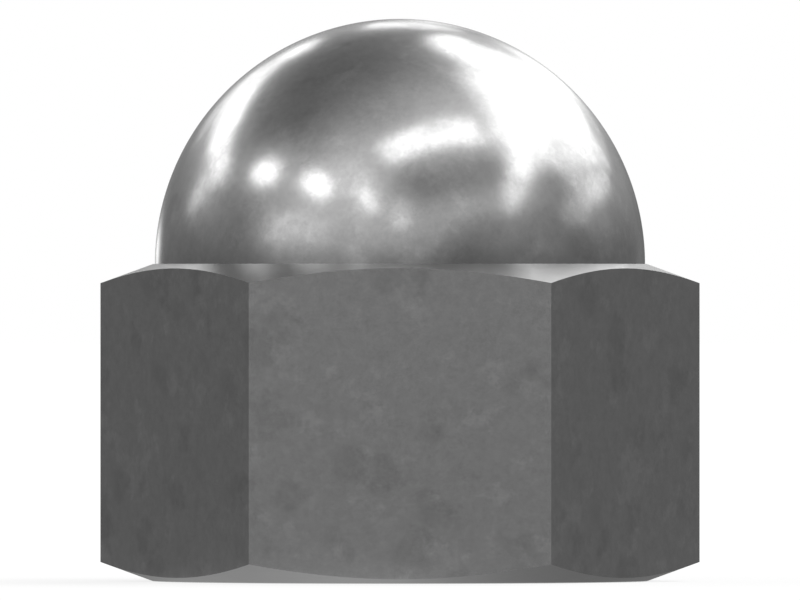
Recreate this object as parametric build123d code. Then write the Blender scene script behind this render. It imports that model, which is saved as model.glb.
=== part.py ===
from build123d import *
import os
from math import cos, radians, tan

# A domed cap nut for a 1/4 in bolt, turned from one piece of hexagon steel bar and tapped blind.
# The origin is the middle of the bearing face that the nut stands on. +Z runs up the axis of the
# thread to the top of the dome, and two of the six flats face -Y and +Y. Sizes are in millimetres.

# The bar, and the form turned on it
ACROSS_FLATS = 11.02
OVERALL_HEIGHT = 11.94
DOME_DIAMETER = 10.41
END_FACE_DIAMETER = 10.49  # of the round flat inside each bevel of the hexagon
BEVEL_ANGLE = 20.0  # between a bevel and the end face beside it

# The blind tapped hole, 1/4 in with 20 threads to the inch
THREAD_DIAMETER = 6.35
TAP_DRILL_DIAMETER = 5.105
COUNTERSINK_OVER_THREAD = 0.55  # on the diameter
COUNTERSINK_ANGLE = 90.0  # from wall to wall
DRILL_DEPTH = 8.64  # from the bearing face to the shoulder of the drill's point
DRILL_POINT_ANGLE = 118.0  # from lip to lip

# Worked out from the sizes above
DOME_RADIUS = DOME_DIAMETER / 2
HEXAGON_HEIGHT = OVERALL_HEIGHT - DOME_RADIUS  # because the dome is a full half ball
CORNER_RADIUS = ACROSS_FLATS / 2 / cos(radians(30))
END_FACE_RADIUS = END_FACE_DIAMETER / 2
TAP_DRILL_RADIUS = TAP_DRILL_DIAMETER / 2
COUNTERSINK_RADIUS = (THREAD_DIAMETER + COUNTERSINK_OVER_THREAD) / 2


def hexagon_bar():
    """The length of hexagon bar that the nut is cut from, with two corners on the X axis."""
    section = RegularPolygon(ACROSS_FLATS / 2, 6, major_radius=False)
    return extrude(section, OVERALL_HEIGHT)


def turned_form():
    """What the lathe leaves of a round bar: a bevel at each end of the hexagon, and the dome."""
    past_corners = CORNER_RADIUS + 1
    bevel_rise = (past_corners - END_FACE_RADIUS) * tan(radians(BEVEL_ANGLE))
    below_dome = Polyline(
        (0, 0),
        (END_FACE_RADIUS, 0),
        (past_corners, bevel_rise),
        (past_corners, HEXAGON_HEIGHT - bevel_rise),
        (END_FACE_RADIUS, HEXAGON_HEIGHT),
        (DOME_RADIUS, HEXAGON_HEIGHT),
    )
    dome = CenterArc((0, HEXAGON_HEIGHT), DOME_RADIUS, 0, 90)
    axis = Line((0, OVERALL_HEIGHT), (0, 0))
    return revolve(Plane.XZ * make_face([below_dome, dome, axis]), Axis.Z)


def tapped_hole():
    """The metal cut away for the thread: countersunk mouth, tap drill's wall and drill's point."""
    countersink_depth = (COUNTERSINK_RADIUS - TAP_DRILL_RADIUS) / tan(radians(COUNTERSINK_ANGLE / 2))
    point_height = TAP_DRILL_RADIUS / tan(radians(DRILL_POINT_ANGLE / 2))
    outline = Polyline(
        (0, 0),
        (COUNTERSINK_RADIUS, 0),
        (TAP_DRILL_RADIUS, countersink_depth),
        (TAP_DRILL_RADIUS, DRILL_DEPTH),
        (0, DRILL_DEPTH + point_height),
        close=True,
    )
    return revolve(Plane.XZ * make_face(outline), Axis.Z)


# Where the bevels cut the six flats, the bar and the turned form leave the scalloped edges
cap_nut = (hexagon_bar() & turned_form()) - tapped_hole()

os.makedirs("parts", exist_ok=True)
export_step(cap_nut, "parts/cap_nut.step")
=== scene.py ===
from math import cos, pi, radians, sin, tan

import bmesh
import bpy
from mathutils import Matrix, Vector


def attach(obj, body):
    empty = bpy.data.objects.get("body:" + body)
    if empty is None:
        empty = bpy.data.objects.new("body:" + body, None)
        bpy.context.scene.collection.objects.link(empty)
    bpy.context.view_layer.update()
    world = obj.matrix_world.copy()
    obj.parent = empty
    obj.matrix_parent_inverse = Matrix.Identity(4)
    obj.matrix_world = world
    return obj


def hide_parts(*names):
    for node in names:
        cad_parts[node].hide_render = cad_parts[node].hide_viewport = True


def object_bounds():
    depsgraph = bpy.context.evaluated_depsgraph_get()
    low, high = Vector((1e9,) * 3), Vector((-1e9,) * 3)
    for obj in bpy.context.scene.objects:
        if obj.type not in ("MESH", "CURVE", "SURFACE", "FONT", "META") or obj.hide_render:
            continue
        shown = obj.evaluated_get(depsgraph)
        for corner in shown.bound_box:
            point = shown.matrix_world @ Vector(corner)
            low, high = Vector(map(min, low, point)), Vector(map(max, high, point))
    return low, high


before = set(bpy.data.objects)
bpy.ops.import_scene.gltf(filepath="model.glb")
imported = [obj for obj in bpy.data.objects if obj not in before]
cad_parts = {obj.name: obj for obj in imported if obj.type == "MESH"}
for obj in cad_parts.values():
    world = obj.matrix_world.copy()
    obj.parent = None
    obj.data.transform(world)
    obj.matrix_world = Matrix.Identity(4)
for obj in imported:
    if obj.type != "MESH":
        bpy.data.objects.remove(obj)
cad_low, cad_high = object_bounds()
MM = 0.001

# The nut
# One piece of bright mild steel. It is cut from drawn hexagon bar, and a lathe turns the dome and
# the bevels at both ends of the hexagon. It is then drilled blind, countersunk and tapped.

across_flats = cad_high.y - cad_low.y
overall_height = cad_high.z - cad_low.z
dome_radius = 5.205 * MM
hexagon_height = overall_height - dome_radius
end_face_radius = 5.245 * MM  # the flat inside each bevel reaches out to here
bevel_angle = 20
bevel_slope = tan(radians(bevel_angle))
steps_round = 288  # a multiple of 6, so that each corner of the hexagon gets a column of points
steps_up_dome = 72
same_point = 1e-8  # points nearer to each other than this, in metres, are one point


def link(made):
    bpy.context.scene.collection.objects.link(made)
    return made


def hexagon_radius(turn):
    """From the axis to the flats of the bar, with a corner at a turn of 0."""
    past_corner = turn % radians(60)
    return across_flats / 2 / cos(past_corner - radians(30))


def loop_round(radius, height):
    """A loop of points about the axis. Radius and height are functions of the turn."""
    turns = [2 * pi * step / steps_round for step in range(steps_round)]
    return [Vector((radius(t) * cos(t), radius(t) * sin(t), height(t))) for t in turns]


def circle(radius, height):
    return loop_round(lambda turn: radius, lambda turn: height)


def closed_skin(loops):
    """A closed mesh through loops of as many points each. The first and last loops get a face."""
    skin = bmesh.new()
    rows = [[skin.verts.new(point) for point in loop] for loop in loops]
    for row, next_row in zip(rows, rows[1:]):
        for i in range(len(row)):
            skin.faces.new((row[i - 1], row[i], next_row[i], next_row[i - 1]))
    skin.faces.new(rows[0])
    skin.faces.new(rows[-1])
    bmesh.ops.remove_doubles(skin, verts=skin.verts, dist=same_point)
    bmesh.ops.recalc_face_normals(skin, faces=skin.faces)
    return skin


def object_of(skin, name):
    data = bpy.data.meshes.new(name)
    skin.to_mesh(data)
    skin.free()
    return link(bpy.data.objects.new(name, data))


def bevel_rise(turn):
    return (hexagon_radius(turn) - end_face_radius) * bevel_slope


def dome_circle(step):
    climb = radians(90) * step / steps_up_dome
    return circle(dome_radius * cos(climb), hexagon_height + dome_radius * sin(climb))


blank = closed_skin(
    [
        circle(end_face_radius, 0),
        loop_round(hexagon_radius, bevel_rise),
        loop_round(hexagon_radius, lambda turn: hexagon_height - bevel_rise(turn)),
        circle(end_face_radius, hexagon_height),
        *[dome_circle(step) for step in range(steps_up_dome + 1)],
    ]
)
nut = object_of(blank, "nut_body")

# The drill leaves a plain wall and a cone, and a 90 degree countersink opens the mouth
drill_radius = 2.5525 * MM
drill_depth = 8.64 * MM
drill_point_angle = 118
drill_point = drill_radius / tan(radians(drill_point_angle / 2))
mouth_radius = 3.45 * MM
past_face = 0.5 * MM  # the cutters start this far outside the bearing face

hole = closed_skin(
    [
        circle(mouth_radius + past_face, -past_face),
        circle(drill_radius, mouth_radius - drill_radius),
        circle(drill_radius, drill_depth),
        circle(0, drill_depth + drill_point),
    ]
)

# The tap turns 20 threads to the inch, right-handed, and its tapered end leaves the run-out
thread_radius = 3.175 * MM
pitch = 1.27 * MM
full_thread = 6.35 * MM
thread_end = 8.0 * MM
flank_angle = 30  # of each flank, half of the thread's 60 degrees
root_flat = pitch / 8
groove_floor = 2.3 * MM  # the cutter reaches in to here, inside the drilled hole
worn_clearance = 0.05 * MM  # the tapered end finishes this far inside the drilled wall
steps_a_turn = 144


def groove_width(radius):
    return root_flat + 2 * (thread_radius - radius) * tan(radians(flank_angle))


def tap_section(step):
    """The cutter's section at one step of the helix: four points in a half-plane from the axis."""
    turn = 2 * pi * step / steps_a_turn
    middle = -pitch + pitch * step / steps_a_turn
    worn = max(0, middle - full_thread) / (thread_end - full_thread)
    tip = thread_radius - worn * (thread_radius - drill_radius + worn_clearance)
    section = []
    for radius, side in ((groove_floor, -1), (tip, -1), (tip, 1), (groove_floor, 1)):
        height = middle + side * groove_width(radius) / 2
        section.append(Vector((radius * cos(turn), radius * sin(turn), height)))
    return section


tap_steps = round((thread_end + pitch) / pitch * steps_a_turn)
tap = closed_skin([tap_section(step) for step in range(tap_steps + 1)])


def clean_up(mesh):
    """Merges the points that a cut leaves in almost the same place."""
    skin = bmesh.new()
    skin.from_mesh(mesh)
    bmesh.ops.remove_doubles(skin, verts=skin.verts, dist=same_point)
    skin.to_mesh(mesh)
    skin.free()


def cut(piece, cutter):
    """Takes the cutter's solid away from the piece."""
    tool = object_of(cutter, "cutter")
    change = piece.modifiers.new("cut", "BOOLEAN")
    change.operation = "DIFFERENCE"
    change.solver = "EXACT"
    change.object = tool
    bpy.context.view_layer.update()
    whole = piece.evaluated_get(bpy.context.evaluated_depsgraph_get())
    piece.data = bpy.data.meshes.new_from_object(whole)
    piece.modifiers.clear()
    bpy.data.objects.remove(tool)
    clean_up(piece.data)


cut(nut, hole)
cut(nut, tap)
crease_angle = 19  # faces that meet at more than this many degrees keep a crisp edge
nut.data.name = "nut_body"
nut.data.shade_smooth()
nut.data.set_sharp_from_angle(angle=radians(crease_angle))
even_shading = nut.modifiers.new("even_shading", "WEIGHTED_NORMAL")
even_shading.keep_sharp = True

# The steel has soft clouds, darker stains and paler blooms, and a fine grain
steel = bpy.data.materials.new("bright_steel")
steel.use_nodes = True
tree = steel.node_tree
shader = tree.nodes["Principled BSDF"]
shader.inputs["Metallic"].default_value = 1.0


def node(kind, inputs=(), **settings):
    """Adds a node to the tree. Each input is a socket's name or number with its link or value."""
    made = tree.nodes.new(kind)
    for name, value in settings.items():
        setattr(made, name, value)
    for socket, source in dict(inputs).items():
        if isinstance(source, bpy.types.NodeSocket):
            tree.links.new(source, made.inputs[socket])
        else:
            made.inputs[socket].default_value = source
    return made


def noise(size, detail, roughness):
    """Cloudy noise between about 0.2 and 0.8, whose largest shapes are about that size."""
    inputs = {"Vector": place, "Scale": 1 / size, "Detail": detail, "Roughness": roughness}
    return node("ShaderNodeTexNoise", inputs).outputs["Fac"]


def spread(value, low, high, to_low, to_high, way="LINEAR"):
    inputs = {0: value, 1: low, 2: high, 3: to_low, 4: to_high}
    return node("ShaderNodeMapRange", inputs, interpolation_type=way).outputs[0]


def math(operation, *values):
    return node("ShaderNodeMath", dict(enumerate(values)), operation=operation).outputs[0]


def vector_math(operation, *values):
    """Gives both outputs of the node: number 0 is a vector, and the one named Value a number."""
    return node("ShaderNodeVectorMath", dict(enumerate(values)), operation=operation).outputs


def grey(level):
    return (level, level, level, 1)


from_base = node("ShaderNodeTexCoord").outputs["Object"]
stain_shift = Vector((18.2, 16.3, 19.6)) * MM  # the best of 500 tries at the real nut's stains
place = vector_math("ADD", from_base, stain_shift)[0]
cloud_size = 0.30 * MM
clouds = noise(cloud_size, 6.0, 0.80)

# The stains are rounded spots, a little over a millimetre apart, with a ragged outline. A stain is
# full up to its core and gone at its edge, both in shares of the spacing.
stain_spacing = 1.25 * MM
stain_core = 0.22
stain_edge = 0.46
stain_depth = 0.23
ragged_size = 0.6 * MM
ragged_reach = (MM, MM, MM)
drift = node("ShaderNodeTexNoise", {"Vector": place, "Scale": 1 / ragged_size, "Detail": 3.0})
ragged = vector_math("MULTIPLY_ADD", drift.outputs["Color"], ragged_reach, place)[0]
spots = node("ShaderNodeTexVoronoi", {"Vector": ragged, "Scale": 1 / stain_spacing})
from_spot = spots.outputs["Distance"]
stains = spread(from_spot, stain_core, stain_edge, stain_depth, 0.0, "SMOOTHSTEP")

# The blooms are paler patches of about the same size
bloom_size = 0.90 * MM
bloom_edge = 0.53
bloom_core = 0.64
bloom_gain = 0.245
patches = noise(bloom_size, 7.0, 0.66)
bloom = spread(patches, bloom_edge, bloom_core, 0.0, bloom_gain, "SMOOTHSTEP")
stained = math("ADD", math("SUBTRACT", clouds, stains), bloom)

# The bevels and the end faces are as the lathe left them: rougher than the dome, with less stain
# and without its grain
level_enough = 0.9  # the flats and the bore face sideways, and score less than this
dome_foot = hexagon_height + 0.01 * MM  # just above the upper end face
clean_shade = 0.49
cleanness = 0.85
tool_roughness = 0.08
facing = node("ShaderNodeSeparateXYZ", {0: node("ShaderNodeNewGeometry").outputs["True Normal"]})
standing = node("ShaderNodeSeparateXYZ", {0: from_base})
level_face = math("GREATER_THAN", math("ABSOLUTE", facing.outputs["Z"]), level_enough)
below_dome = math("LESS_THAN", standing.outputs["Z"], dome_foot)
turned = math("MULTIPLY", level_face, below_dome)
clean_share = math("MULTIPLY", turned, cleanness)
shade = node("ShaderNodeMix", {0: clean_share, 2: stained, 3: clean_shade}).outputs[0]

# Where the shade is pale the steel is also a little smoother
dark_shade = 0.25
pale_shade = 0.75
dark_steel = grey(0.26)
pale_steel = grey(0.46)
dark_roughness = 0.215
pale_roughness = 0.185
grain_size = 0.06 * MM
grain_depth = 0.0004 * MM
colour = node("ShaderNodeMix", {0: shade, 6: dark_steel, 7: pale_steel}, data_type="RGBA")
tree.links.new(colour.outputs[2], shader.inputs["Base Color"])
polish = spread(shade, dark_shade, pale_shade, dark_roughness, pale_roughness)
roughness = math("MULTIPLY_ADD", turned, tool_roughness, polish)
tree.links.new(roughness, shader.inputs["Roughness"])
grain = noise(grain_size, 3.0, 0.70)
grain_share = math("SUBTRACT", 1.0, turned)
ripple = node("ShaderNodeBump", {"Height": grain, "Strength": grain_share, "Distance": grain_depth})
tree.links.new(ripple.outputs[0], shader.inputs["Normal"])

nut.data.materials.clear()
nut.data.materials.append(steel)

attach(nut, "root")
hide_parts("cap_nut")

# The floor
# A white table top that the nut stands on. Part of its white is its own light, so that it stays
# white up to the edge of the picture, and the rest is paint, which takes the nut's soft shadow.

floor_paint = 0.9
floor_reach = 3
own_share_near = 0.78
own_share_far = 1.0
near = 6 * MM
far = 30 * MM
background_level = 1.05


def shown_as_white():
    """1 for a ray from the camera, or one off metal or through glass, and 0 for all others."""
    path = node("ShaderNodeLightPath").outputs
    straight_or_mirrored = math("MAXIMUM", path["Is Camera Ray"], path["Is Glossy Ray"])
    return math("MAXIMUM", straight_or_mirrored, path["Is Transmission Ray"])


corners = [(x * floor_reach, y * floor_reach, 0) for x, y in ((-1, -1), (1, -1), (1, 1), (-1, 1))]
floor_mesh = bpy.data.meshes.new("floor")
floor_mesh.from_pydata(corners, [], [(0, 1, 2, 3)])
floor = link(bpy.data.objects.new("floor", floor_mesh))
white_top = bpy.data.materials.new("white_top")
white_top.use_nodes = True
tree = white_top.node_tree
tree.nodes.clear()
from_nut_axis = vector_math("LENGTH", node("ShaderNodeTexCoord").outputs["Object"])["Value"]
# The own light's share grows from near the nut to far from it, so the shadow fades out away from the
# nut
own_share = spread(from_nut_axis, near, far, own_share_near, own_share_far)
share = math("MULTIPLY", shown_as_white(), own_share)
paint = node("ShaderNodeBsdfDiffuse", {"Color": grey(floor_paint)})
own_light = node("ShaderNodeEmission", {"Strength": background_level})
mixed = node("ShaderNodeMixShader", {0: share, 1: paint.outputs[0], 2: own_light.outputs[0]})
node("ShaderNodeOutputMaterial", {"Surface": mixed.outputs[0]})
floor_mesh.materials.append(white_top)

# The background
# A white sweep far behind the table, which is the world's colour. Its light on the nut and on the
# table is lower than its white, and the lamps do the rest.

room_level = 0.15
sweep_white = 1.0
world = bpy.data.worlds.new("white_sweep")
bpy.context.scene.world = world
world.use_nodes = True
tree = world.node_tree
tree.nodes.clear()
dim = node("ShaderNodeBackground", {"Color": grey(1), "Strength": room_level})
white = node("ShaderNodeBackground", {"Color": grey(1), "Strength": sweep_white})
mixed = node("ShaderNodeMixShader", {0: shown_as_white(), 1: dim.outputs[0], 2: white.outputs[0]})
node("ShaderNodeOutputWorld", {"Surface": mixed.outputs[0]})

# The lamps
# Softboxes, strips and small round lamps, half a metre from the nut and turned to face it. The
# polished dome shows each one as a bright patch. Their directions, sizes and brightness were
# fitted to the patches in the photograph by a program, and then rounded.

lamp_distance = 0.5
nut_middle = Vector((0, 0, overall_height / 2))


def aim(azimuth, elevation, roll):
    """Out, across and up, for a lamp seen from the nut. Azimuth 0 is +X and 90 is behind the nut."""
    turn, climb, lean = radians(azimuth), radians(elevation), radians(roll)
    out = Vector((cos(climb) * cos(turn), cos(climb) * sin(turn), sin(climb)))
    level = Vector((sin(turn), -cos(turn), 0))
    up = level.cross(out)
    return out, cos(lean) * level + sin(lean) * up, cos(lean) * up - sin(lean) * level


def lamp(name, azimuth, elevation, wide, tall, brightness, roll=0, shape="RECTANGLE"):
    """Hangs a lamp. Its width and height are shares of its distance, and white is 1."""
    data = bpy.data.lights.new(name, "AREA")
    data.shape = shape
    data.size = wide * lamp_distance
    data.size_y = tall * lamp_distance
    round_share = pi / 4 if shape == "ELLIPSE" else 1
    data.energy = brightness * pi * data.size * data.size_y * round_share
    made = link(bpy.data.objects.new(name, data))
    out, across, up = aim(azimuth, elevation, roll)
    facing_nut = Matrix((-across, up, out)).transposed().to_4x4()
    made.matrix_world = Matrix.Translation(nut_middle + out * lamp_distance) @ facing_nut
    made.visible_camera = False


# The large window on the right, in overlapping sheets of light, and the glow under it
lamp("window_wide", 24, 43, 0.59, 0.91, 1.0, roll=-14)
lamp("window_long", 24, 41, 1.33, 0.44, 1.35, roll=20)
lamp("window_far", 64, 37, 0.33, 0.58, 1.95, roll=20)
lamp("window_high", 46, 52, 0.75, 0.34, 1.6, roll=8)
lamp("window_tip", 80, 39, 0.18, 0.08, 2.4, roll=-80)
lamp("window_sill", 66, 24, 0.55, 0.34, 0.6, roll=10)
lamp("window_end", 342, 37, 0.19, 0.79, 1.7, roll=50, shape="ELLIPSE")
lamp("window_foot", 33, 18, 0.43, 0.09, 1.45, roll=1, shape="ELLIPSE")
lamp("side_glow", 8, 17, 0.17, 0.38, 0.55, roll=-91, shape="ELLIPSE")

# The strip behind the nut on the left
lamp("left_strip", 121, 28, 0.62, 0.22, 1.65, roll=-10)
lamp("left_end", 142, 29, 0.72, 0.16, 2.05, roll=9, shape="ELLIPSE")
lamp("left_low", 153, 21, 0.47, 0.16, 0.95, roll=-43, shape="ELLIPSE")

# The strip overhead and the round lamps, on the camera's side of the nut
lamp("overhead_strip", 295, 61, 0.79, 0.21, 2.75, roll=-8)
lamp("round_left", 189, 34, 0.27, 0.17, 3.45, roll=-6, shape="ELLIPSE")
lamp("round_front", 223, 35, 0.3, 0.15, 3.65, roll=15, shape="ELLIPSE")
lamp("round_weak", 252, 31, 0.11, 0.34, 2.4, roll=-41, shape="ELLIPSE")
lamp("front_glow", 270, 24, 0.24, 0.18, 0.85, roll=90, shape="ELLIPSE")
lamp("front_low", 283, 8, 0.62, 0.28, 0.25, roll=-15, shape="ELLIPSE")

# The small panes straight behind the nut, which the upper bevel and the dome's rim mirror
lamp("back_window", 89, 26, 0.15, 0.2, 1.7, roll=12)
lamp("back_pane", 104, 28, 0.31, 0.07, 1.1, roll=-62)

# The grey cloth
# A tent of grey cloth hangs round the table, with a skirt on the table that stops just short of
# the nut. Only the nut's polish sees it. Its grey is its own light, and pale pools of light are
# painted on it where the lamps would spill over. They were fitted and rounded as the lamps were.

cloth_level = 0.165
tent_radius = 0.8
steps_up_tent = 24
skirt_gap = 5.15 * MM
axis_reach = 1.1 * skirt_gap
over_table = 0.01 * MM


def tent_circle(step):
    climb = radians(90) * step / steps_up_tent
    return circle(tent_radius * cos(climb), over_table + tent_radius * sin(climb))


def near_axis(face):
    """True of the skirt's mouth round the nut, and of the empty faces at the tent's tip."""
    return all(point.co.xy.length < axis_reach for point in face.verts)


skirt_edge = circle(skirt_gap, over_table)
tent_skin = closed_skin([skirt_edge, *[tent_circle(step) for step in range(steps_up_tent + 1)]])
inner_faces = [face for face in tent_skin.faces if near_axis(face)]
bmesh.ops.delete(tent_skin, geom=inner_faces, context="FACES")
tent = object_of(tent_skin, "grey_tent")
tent.visible_camera = False
tent.visible_diffuse = False
tent.visible_shadow = False

cloth_with_painted_light = bpy.data.materials.new("cloth_with_painted_light")
cloth_with_painted_light.use_nodes = True
cloth_with_painted_light.cycles.emission_sampling = "NONE"
tree = cloth_with_painted_light.node_tree
tree.nodes.clear()
position = node("ShaderNodeNewGeometry").outputs["Position"]
from_nut = vector_math("SUBTRACT", position, nut_middle)[0]
heading = vector_math("NORMALIZE", from_nut)[0]


def along(axis):
    return vector_math("DOT_PRODUCT", heading, axis)["Value"]


def fading(square):
    """1 in the middle of a patch of light, and less and less away from it."""
    return math("EXPONENT", math("MULTIPLY", square, -1.0))


def painted_pool(azimuth, elevation, wide, tall, brightness, roll=0):
    """A soft pool of light painted on the cloth. Its half widths are sines of the angle from its
    middle.
    """
    out, across, up = aim(azimuth, elevation, roll)
    across_share = math("DIVIDE", along(across), wide)
    up_share = math("DIVIDE", along(up), tall)
    squares = math("ADD", math("POWER", across_share, 2.0), math("POWER", up_share, 2.0))
    in_front = math("GREATER_THAN", along(out), 0.0)
    return math("MULTIPLY", math("MULTIPLY", fading(squares), in_front), brightness)


front_pools = (
    painted_pool(218, 14, 0.29, 0.15, 1.5, roll=-3),
    painted_pool(243, 38, 0.44, 0.29, 1.15, roll=64),
    painted_pool(297, 24, 0.76, 0.14, 0.75, roll=-12),
)
right_pools = (
    painted_pool(330, 10, 0.45, 0.15, 0.3, roll=2),
    painted_pool(339, 67, 0.63, 0.44, 0.95, roll=14),
    painted_pool(35, 58, 0.42, 0.15, 0.5, roll=-19),
    painted_pool(52, 12, 0.65, 0.09, 0.25),
)
back_pools = (
    painted_pool(76, 18, 0.15, 0.06, 2.3, roll=48),
    painted_pool(88, 14, 0.04, 0.03, 2.05, roll=-79),
    painted_pool(93, 27, 0.08, 0.29, 0.35, roll=-10),
    painted_pool(107, 1, 0.09, 0.03, 2.25, roll=-4),
    painted_pool(111, 17, 0.05, 0.14, 1.15, roll=80),
)
left_pools = (
    painted_pool(135, 27, 0.52, 0.13, 0.3, roll=18),
    painted_pool(145, 27, 0.59, 0.33, 0.45, roll=3),
    painted_pool(202, 34, 0.41, 0.2, 0.6, roll=9),
)
skirt_pools = (
    painted_pool(215, -48, 0.35, 0.4, 0.2),
    painted_pool(262, -48, 0.33, 0.4, 0.35),
)

# The skirt has a painted glow round the nut, which makes it a little paler there
painted_glow_reach = 50 * MM
painted_glow_gain = 0.08
off_axis = vector_math("MULTIPLY", from_nut, (1, 1, 0))[0]
table_share = math("DIVIDE", vector_math("LENGTH", off_axis)["Value"], painted_glow_reach)
glow = math("MULTIPLY_ADD", fading(math("POWER", table_share, 2.0)), painted_glow_gain, cloth_level)
for one_pool in front_pools + right_pools + back_pools + left_pools + skirt_pools:
    glow = math("ADD", glow, one_pool)
lit_cloth = node("ShaderNodeEmission", {"Strength": glow})
node("ShaderNodeOutputMaterial", {"Surface": lit_cloth.outputs[0]})
tent.data.materials.append(cloth_with_painted_light)

# The camera
# A long lens level with the middle of the nut, square to one of its flats.

lens = 1200
picture_width = 16.99 * MM  # what the photograph spans at the nut's axis
camera_data = bpy.data.cameras.new("camera")
camera_data.lens = lens
camera = link(bpy.data.objects.new("camera", camera_data))
camera.location = nut_middle - Vector((0, picture_width * lens / camera_data.sensor_width, 0))
camera.rotation_euler = (radians(90), 0, 0)
bpy.context.scene.camera = camera
bpy.context.scene.view_settings.view_transform = "Standard"
